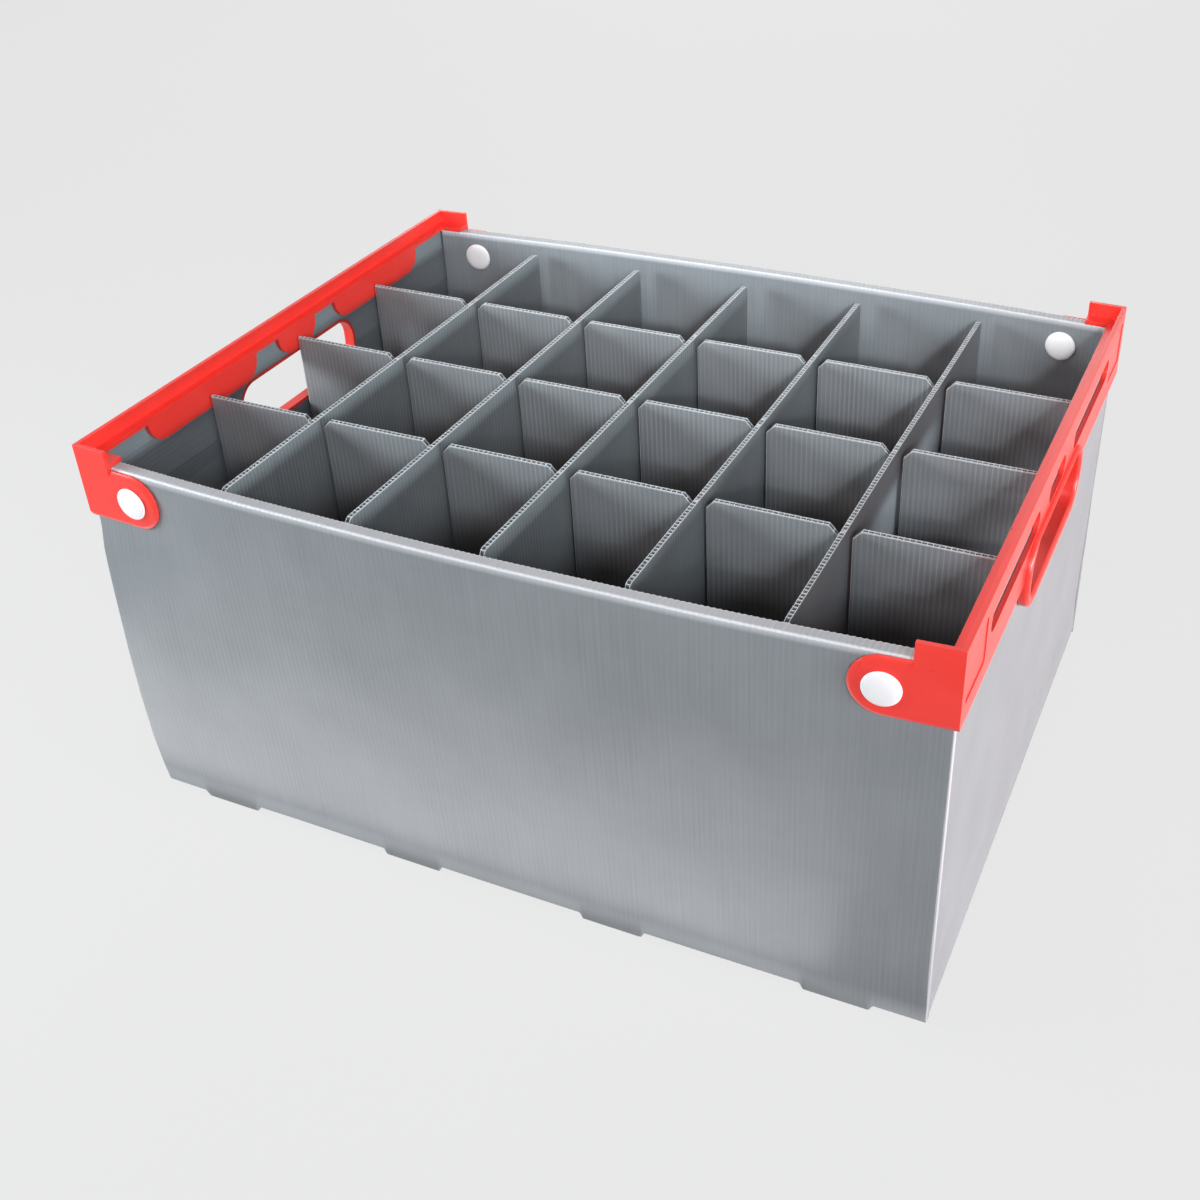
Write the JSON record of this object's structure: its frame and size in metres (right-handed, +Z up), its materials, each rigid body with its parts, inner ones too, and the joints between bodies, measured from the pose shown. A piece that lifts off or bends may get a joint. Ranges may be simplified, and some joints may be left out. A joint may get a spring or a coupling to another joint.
{
  "type": "milk bottle crate",
  "caption": "Open crate folded from corrugated plastic sheet, with riveted moulded end frames, hand-holes and a lift-out nest of slotted dividers that parts it into bottle cells.",
  "frame": {"origin": "middle of the footprint, on the surface that the crate stands on", "axes": "+X along the long side towards the right end frame, +Y from the front long wall to the back one, +Z up"},
  "size_m": [0.512, 0.4, 0.2523],
  "materials": {
    "box_sheet": "satin twin-wall polypropylene sheet with fine flutes",
    "divider_sheet": "satin twin-wall polypropylene sheet with fine vertical flutes",
    "frame_red": "moulded red plastic, soft sheen",
    "rivet_white": "moulded white plastic, soft sheen"
  },
  "bodies": {
    "box": {"box_blank": "box_sheet", "end_frame_left": "frame_red", "end_frame_right": "frame_red", "rivet_plug_front_left": "rivet_white", "rivet_plug_front_right": "rivet_white", "rivet_plug_back_left": "rivet_white", "rivet_plug_back_right": "rivet_white", "rivet_socket_front_left": "rivet_white", "rivet_socket_front_right": "rivet_white", "rivet_socket_back_left": "rivet_white", "rivet_socket_back_right": "rivet_white"},
    "divider_nest": {"long_divider_front": "divider_sheet", "long_divider_middle": "divider_sheet", "long_divider_back": "divider_sheet"},
    "cross_1": {"cross_divider_1": "divider_sheet"},
    "cross_2": {"cross_divider_2": "divider_sheet"},
    "cross_3": {"cross_divider_3": "divider_sheet"},
    "cross_4": {"cross_divider_4": "divider_sheet"},
    "cross_5": {"cross_divider_5": "divider_sheet"}
  },
  "joints": [
    {"name": "nest_lift", "type": "slide", "parent": "box", "child": "divider_nest", "axis": [0, 0, 1], "range_m": [0, 0.25]},
    {"name": "cross_1_lift", "type": "slide", "parent": "divider_nest", "child": "cross_1", "axis": [0, 0, 1], "range_m": [0, 0.25]},
    {"name": "cross_2_lift", "type": "slide", "parent": "divider_nest", "child": "cross_2", "axis": [0, 0, 1], "range_m": [0, 0.25]},
    {"name": "cross_3_lift", "type": "slide", "parent": "divider_nest", "child": "cross_3", "axis": [0, 0, 1], "range_m": [0, 0.25]},
    {"name": "cross_4_lift", "type": "slide", "parent": "divider_nest", "child": "cross_4", "axis": [0, 0, 1], "range_m": [0, 0.25]},
    {"name": "cross_5_lift", "type": "slide", "parent": "divider_nest", "child": "cross_5", "axis": [0, 0, 1], "range_m": [0, 0.25]}
  ]
}
